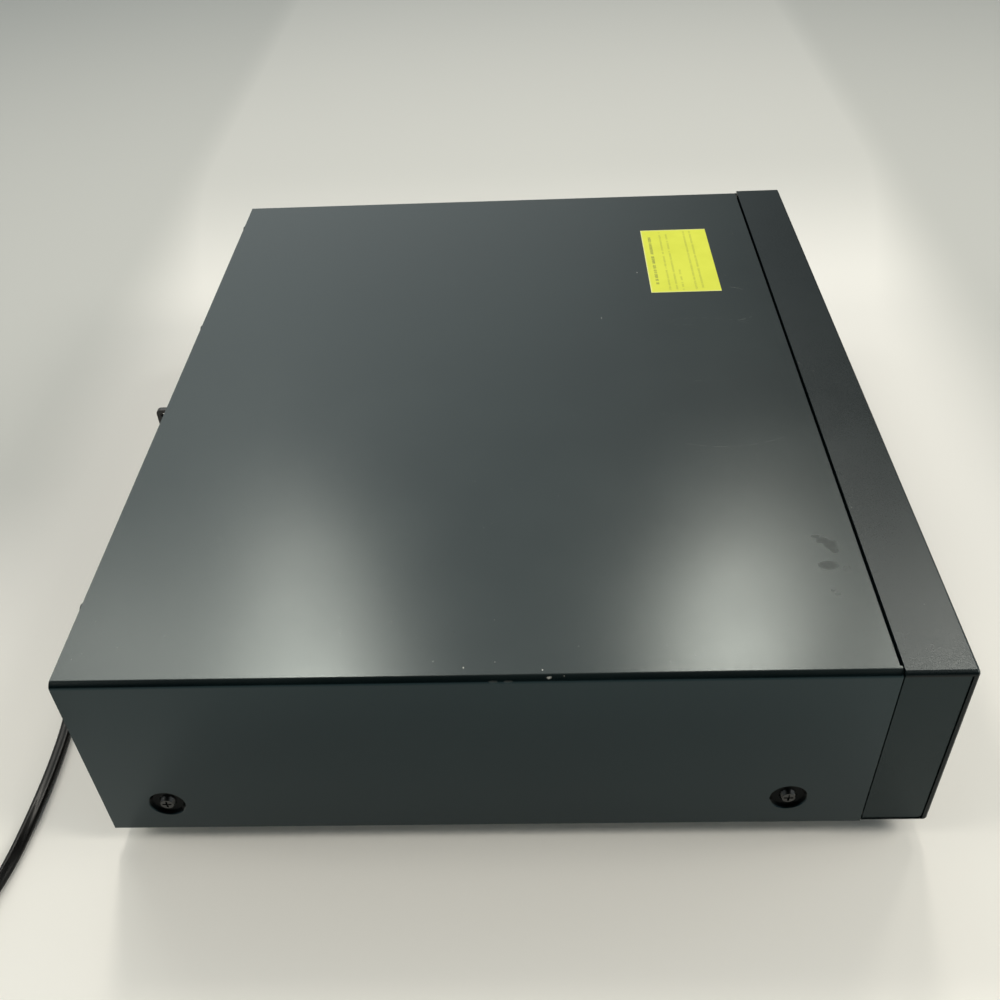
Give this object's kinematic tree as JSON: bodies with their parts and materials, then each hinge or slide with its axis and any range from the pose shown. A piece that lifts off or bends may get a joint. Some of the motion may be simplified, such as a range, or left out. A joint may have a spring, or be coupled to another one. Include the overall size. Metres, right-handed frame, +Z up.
{
  "type": "compact disc changer",
  "caption": "Full-width hi-fi compact disc changer with a folded steel cover, a moulded front, a motor-driven drawer with a turning disc carousel and a flat mains lead.",
  "frame": {"origin": "on the surface that the feet stand on, at the middle of the unit's width and of its depth from the front panel to the spacer at the back", "axes": "+X to the right seen from the front, the front faces -Y, +Z up"},
  "size_m": [0.5307, 0.5279, 0.1112],
  "materials": {
    "cover_paint": "satin",
    "bezel_plastic": "fine textured",
    "cap_plastic": "fine textured",
    "window_plastic": "gloss",
    "key_plastic": "satin",
    "zinc_steel": "satin",
    "black_screw": "satin",
    "panel_paint": "satin",
    "foot_plastic": "matt",
    "tray_plastic": "matt",
    "loader_plastic": "matt",
    "gear_plastic": "satin",
    "board_laminate": "satin",
    "tube_glass": "gloss",
    "transformer_iron": "matt",
    "motor_case": "satin",
    "rod_steel": "polished",
    "belt_rubber": "matt",
    "cord_vinyl": "satin",
    "cable_vinyl": "satin",
    "fuse_glass": "gloss",
    "jack_plastic": "satin",
    "label_paper": "satin"
  },
  "bodies": {
    "chassis": {"base_chassis": "zinc_steel", "rear_panel": "panel_paint", "top_cover": "cover_paint", "side_screws": "black_screw", "rear_screws": "black_screw", "feet": "foot_plastic", "front_bezel": "bezel_plastic", "left_end_cap": "cap_plastic", "right_end_cap": "cap_plastic", "display_window": "window_plastic", "display_tube": "tube_glass", "front_board": "board_laminate", "power_transformer": "transformer_iron", "power_board": "board_laminate", "fuse": "fuse_glass", "main_board": "board_laminate", "ribbon_cable": "cable_vinyl", "output_jacks": "jack_plastic", "optical_jack": "jack_plastic", "cord_bushing": "cord_vinyl", "rear_spacer": "jack_plastic", "top_label": "label_paper", "loader_base": "loader_plastic", "loading_motor": "motor_case", "drive_belt": "belt_rubber", "clamp_bridge": "zinc_steel", "cord_run": "cord_vinyl", "cord_coil": "cord_vinyl", "power_plug": "cord_vinyl"},
    "tray": {"tray": "tray_plastic", "tray_door": "bezel_plastic", "carousel_motor": "motor_case", "carousel_cap": "tray_plastic"},
    "carousel": {"carousel": "tray_plastic"},
    "carousel_gear": {"carousel_gear": "gear_plastic"},
    "tray_pinion": {"tray_pinion": "gear_plastic"},
    "pulley_gear": {"pulley_gear": "gear_plastic"},
    "motor_pulley": {"motor_pulley": "gear_plastic"},
    "lift": {"lift_frame": "loader_plastic", "guide_rods": "rod_steel", "spindle_motor": "motor_case", "sled_motor": "motor_case"},
    "cam_slide": {"cam_slide": "gear_plastic"},
    "turntable": {"turntable": "tray_plastic"},
    "pickup_sled": {"pickup_sled": "jack_plastic"},
    "lead_screw": {"lead_screw": "rod_steel"},
    "clamp_puck": {"clamp_puck": "gear_plastic"},
    "power_button": {"power_button": "key_plastic"},
    "open_button": {"open_button": "key_plastic"},
    "skip_button": {"skip_button": "key_plastic"},
    "play_button": {"play_button": "key_plastic"},
    "pause_button": {"pause_button": "key_plastic"},
    "stop_button": {"stop_button": "key_plastic"},
    "back_button": {"back_button": "key_plastic"},
    "forward_button": {"forward_button": "key_plastic"},
    "disc_button_1": {"disc_button_1": "key_plastic"},
    "disc_button_2": {"disc_button_2": "key_plastic"},
    "disc_button_3": {"disc_button_3": "key_plastic"},
    "disc_button_4": {"disc_button_4": "key_plastic"},
    "disc_button_5": {"disc_button_5": "key_plastic"}
  },
  "joints": [
    {"name": "tray_slide", "type": "slide", "parent": "chassis", "child": "tray", "axis": [0, -1, 0], "range_m": [0, 0.2]},
    {"name": "carousel_turn", "type": "hinge", "parent": "tray", "child": "carousel", "pos_m": [0, -0.0132, 0.0875], "axis": [0, 0, 1], "continuous": true},
    {"name": "carousel_gear_turn", "type": "hinge", "parent": "tray", "child": "carousel_gear", "pos_m": [-0.03984, -0.05305, 0.0845], "axis": [0, 0, 1], "continuous": true},
    {"name": "tray_pinion_turn", "type": "hinge", "parent": "chassis", "child": "tray_pinion", "pos_m": [-0.18787, -0.1293, 0.065], "axis": [0, 0, 1], "range_deg": [-860, 0]},
    {"name": "pulley_gear_turn", "type": "hinge", "parent": "chassis", "child": "pulley_gear", "pos_m": [-0.15964, -0.113, 0.065], "axis": [0, 0, 1], "range_deg": [0, 2850]},
    {"name": "motor_pulley_turn", "type": "hinge", "parent": "chassis", "child": "motor_pulley", "pos_m": [-0.10964, -0.113, 0.065], "axis": [0, 0, 1], "range_deg": [0, 10750]},
    {"name": "lift_rise", "type": "slide", "parent": "chassis", "child": "lift", "axis": [0, 0, 1], "range_m": [0, 0.0085]},
    {"name": "cam_travel", "type": "slide", "parent": "chassis", "child": "cam_slide", "axis": [0, 1, 0], "range_m": [0, 0.0171]},
    {"name": "turntable_spin", "type": "hinge", "parent": "lift", "child": "turntable", "pos_m": [0, 0.0908, 0.076], "axis": [0, 0, 1], "continuous": true},
    {"name": "sled_travel", "type": "slide", "parent": "lift", "child": "pickup_sled", "axis": [0, 1, 0], "range_m": [0, 0.033]},
    {"name": "lead_screw_turn", "type": "hinge", "parent": "lift", "child": "lead_screw", "pos_m": [0.0255, 0.1308, 0.071], "axis": [0, 1, 0], "range_deg": [-3970, 0]},
    {"name": "puck_spin", "type": "hinge", "parent": "chassis", "child": "clamp_puck", "pos_m": [0, 0.0908, 0.098], "axis": [0, 0, 1], "continuous": true},
    {"name": "power_button_press", "type": "slide", "parent": "chassis", "child": "power_button", "axis": [0, 1, 0], "range_m": [0, 0.0012], "stiffness_N_per_m": 1200},
    {"name": "open_button_press", "type": "slide", "parent": "chassis", "child": "open_button", "axis": [0, 1, 0], "range_m": [0, 0.0012], "stiffness_N_per_m": 1200},
    {"name": "skip_button_press", "type": "slide", "parent": "chassis", "child": "skip_button", "axis": [0, 1, 0], "range_m": [0, 0.0012], "stiffness_N_per_m": 1200},
    {"name": "play_button_press", "type": "slide", "parent": "chassis", "child": "play_button", "axis": [0, 1, 0], "range_m": [0, 0.0012], "stiffness_N_per_m": 1200},
    {"name": "pause_button_press", "type": "slide", "parent": "chassis", "child": "pause_button", "axis": [0, 1, 0], "range_m": [0, 0.0012], "stiffness_N_per_m": 1200},
    {"name": "stop_button_press", "type": "slide", "parent": "chassis", "child": "stop_button", "axis": [0, 1, 0], "range_m": [0, 0.0012], "stiffness_N_per_m": 1200},
    {"name": "back_button_press", "type": "slide", "parent": "chassis", "child": "back_button", "axis": [0, 1, 0], "range_m": [0, 0.0012], "stiffness_N_per_m": 1200},
    {"name": "forward_button_press", "type": "slide", "parent": "chassis", "child": "forward_button", "axis": [0, 1, 0], "range_m": [0, 0.0012], "stiffness_N_per_m": 1200},
    {"name": "disc_button_1_press", "type": "slide", "parent": "chassis", "child": "disc_button_1", "axis": [0, 1, 0], "range_m": [0, 0.0012], "stiffness_N_per_m": 1200},
    {"name": "disc_button_2_press", "type": "slide", "parent": "chassis", "child": "disc_button_2", "axis": [0, 1, 0], "range_m": [0, 0.0012], "stiffness_N_per_m": 1200},
    {"name": "disc_button_3_press", "type": "slide", "parent": "chassis", "child": "disc_button_3", "axis": [0, 1, 0], "range_m": [0, 0.0012], "stiffness_N_per_m": 1200},
    {"name": "disc_button_4_press", "type": "slide", "parent": "chassis", "child": "disc_button_4", "axis": [0, 1, 0], "range_m": [0, 0.0012], "stiffness_N_per_m": 1200},
    {"name": "disc_button_5_press", "type": "slide", "parent": "chassis", "child": "disc_button_5", "axis": [0, 1, 0], "range_m": [0, 0.0012], "stiffness_N_per_m": 1200}
  ],
  "couplings": [
    {"joint": "carousel_gear_turn", "follows": "carousel_turn", "ratio": -4},
    {"joint": "tray_pinion_turn", "follows": "tray_slide", "rad_per_m": -74.074},
    {"joint": "pulley_gear_turn", "follows": "tray_slide", "rad_per_m": 246.91},
    {"joint": "motor_pulley_turn", "follows": "tray_slide", "rad_per_m": 929.87},
    {"joint": "cam_travel", "follows": "lift_rise", "ratio": 2},
    {"joint": "lead_screw_turn", "follows": "sled_travel", "rad_per_m": -2094.4}
  ]
}
